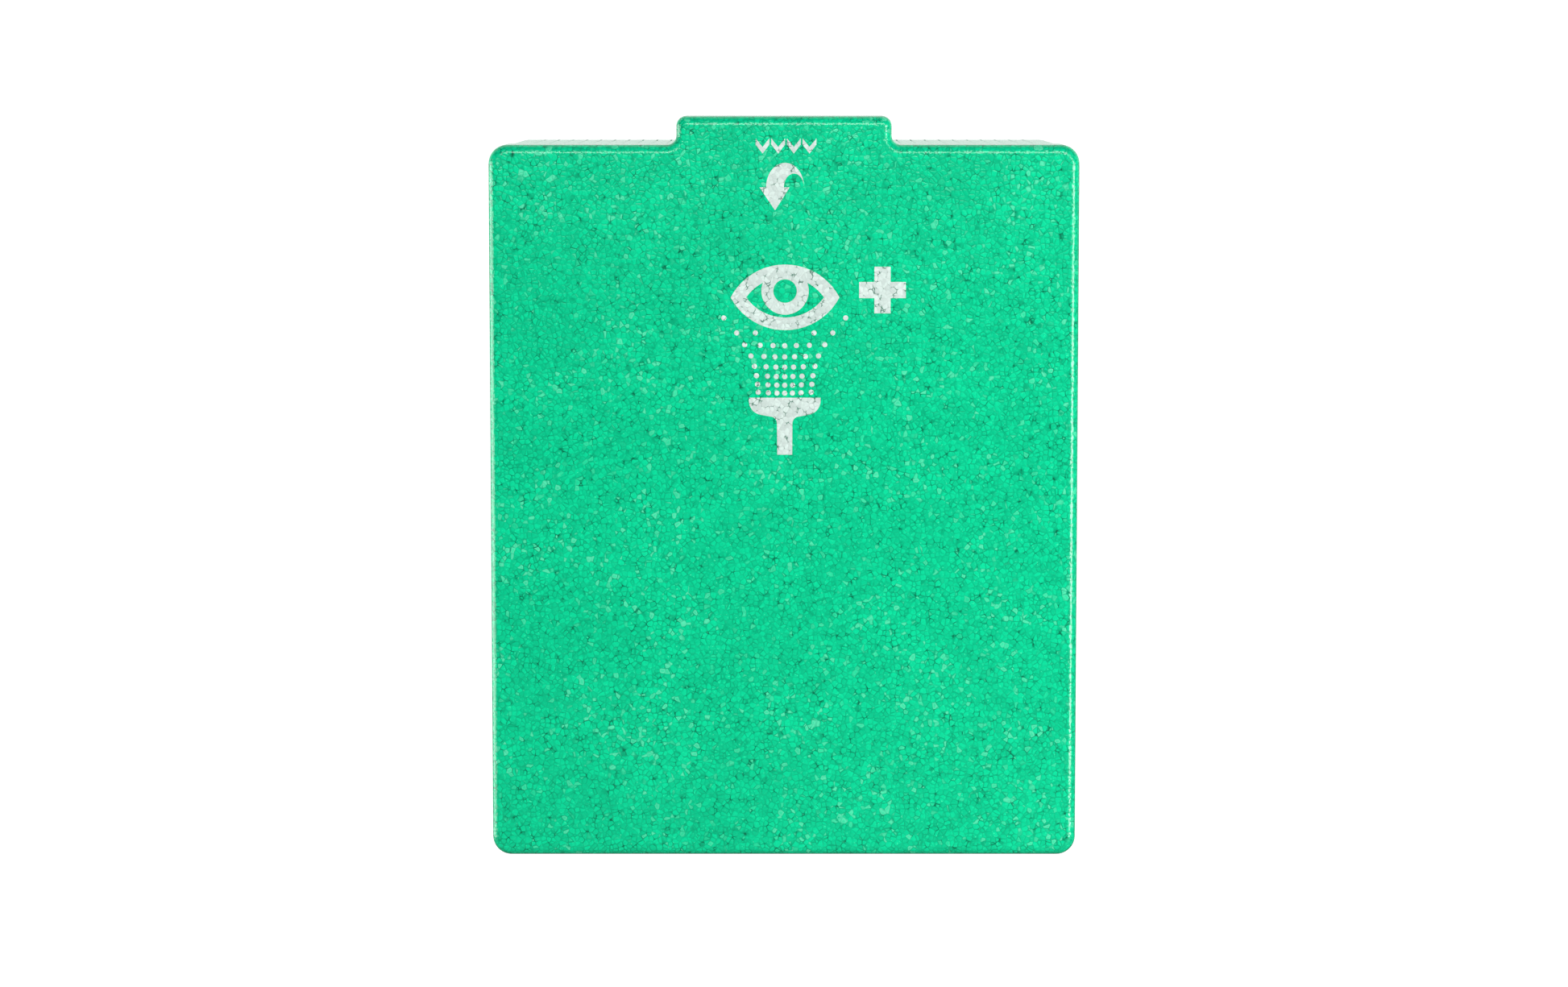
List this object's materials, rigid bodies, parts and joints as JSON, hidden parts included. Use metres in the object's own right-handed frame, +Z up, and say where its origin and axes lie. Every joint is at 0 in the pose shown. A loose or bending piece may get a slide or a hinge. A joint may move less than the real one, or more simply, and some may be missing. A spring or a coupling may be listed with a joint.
{
  "type": "insulated eyewash cabinet",
  "caption": "Insulated bead-foam wall cabinet with a drop-down front cover, holding heated eyewash bottles with twist-off dust caps.",
  "frame": {"origin": "middle of the underside's box, on the plane that the cabinet stands on", "axes": "+X to the right when facing the cover, +Y from the cover towards the wall, +Z up"},
  "size_m": [0.25, 0.15, 0.316],
  "materials": {
    "body_foam": "moulded bead foam",
    "cover_foam": "moulded bead foam",
    "white_card": "printed sheet",
    "zinc_steel": "bright zinc plating",
    "nylon_rivet": "moulded",
    "rear_sheet": "fine grained sheet",
    "black_nylon": "fine moulded grain",
    "case_plastic": "spark-eroded grain",
    "circuit_board": "solder resist",
    "cable_jacket": "satin",
    "heater_cable": "satin silicone",
    "brass_contact": "turned",
    "silicone_mat": "fabric-pressed silicone",
    "heat_spreader": "rolled sheet",
    "thermostat": "black cap",
    "lamp_lens": "translucent",
    "bottle_plastic": "blow-moulded, slightly milky",
    "saline": "clear liquid",
    "label_film": "printed film",
    "cup_plastic": "moulded",
    "insert_plastic": "moulded",
    "seal_film": "shrunk film",
    "cap_plastic": "moulded, ribbed grip"
  },
  "bodies": {
    "cabinet": {"body_shell": "body_foam", "rear_plate": "rear_sheet", "plate_screws": "zinc_steel", "mounting_sleeves": "black_nylon", "thermostat": "thermostat", "controller_case": "case_plastic", "controller_lid": "case_plastic", "controller_screws": "zinc_steel", "circuit_board": "circuit_board", "supply_lead": "cable_jacket", "inlet_plate": "case_plastic", "inlet_socket": "black_nylon", "inlet_nut": "brass_contact", "inlet_screws": "zinc_steel", "status_lamp": "lamp_lens", "body_leaf_screws": "zinc_steel", "hinge_body_leaf_left": "black_nylon", "hinge_pin_left": "zinc_steel", "heating_mat_left": "silicone_mat", "heat_spreader_left": "heat_spreader", "heater_lead_left": "heater_cable", "hinge_body_leaf_right": "black_nylon", "hinge_pin_right": "zinc_steel", "heating_mat_right": "silicone_mat", "heat_spreader_right": "heat_spreader", "heater_lead_right": "heater_cable"},
    "cover": {"front_cover": "cover_foam", "instruction_card": "white_card", "card_rivets": "nylon_rivet", "cover_leaf_screws": "zinc_steel", "hinge_cover_leaf_left": "black_nylon", "hinge_cover_leaf_right": "black_nylon"},
    "bottle_left": {"bottle_left": "bottle_plastic", "saline_fill_left": "saline", "bottle_label_left": "label_film", "eye_cup_left": "cup_plastic", "spray_insert_left": "insert_plastic", "seal_band_left": "seal_film"},
    "cap_left": {"dust_cap_left": "cap_plastic"},
    "bottle_right": {"bottle_right": "bottle_plastic", "saline_fill_right": "saline", "bottle_label_right": "label_film", "eye_cup_right": "cup_plastic", "spray_insert_right": "insert_plastic", "seal_band_right": "seal_film"},
    "cap_right": {"dust_cap_right": "cap_plastic"}
  },
  "joints": [
    {"name": "cover_tilt", "type": "hinge", "parent": "cabinet", "child": "cover", "pos_m": [0, -0.045, 0.0044], "axis": [1, 0, 0], "range_deg": [0, 115]},
    {"name": "bottle_left_lift", "type": "slide", "parent": "cabinet", "child": "bottle_left", "axis": [0, 0, 1], "range_m": [0, 0.012]},
    {"name": "bottle_right_lift", "type": "slide", "parent": "cabinet", "child": "bottle_right", "axis": [0, 0, 1], "range_m": [0, 0.012]},
    {"name": "cap_left_twist", "type": "hinge", "parent": "bottle_left", "child": "cap_left", "pos_m": [-0.047, 0.004, 0.25], "axis": [0, 0, 1], "range_deg": [0, 90]},
    {"name": "cap_right_twist", "type": "hinge", "parent": "bottle_right", "child": "cap_right", "pos_m": [0.047, 0.004, 0.25], "axis": [0, 0, 1], "range_deg": [0, 90]}
  ]
}
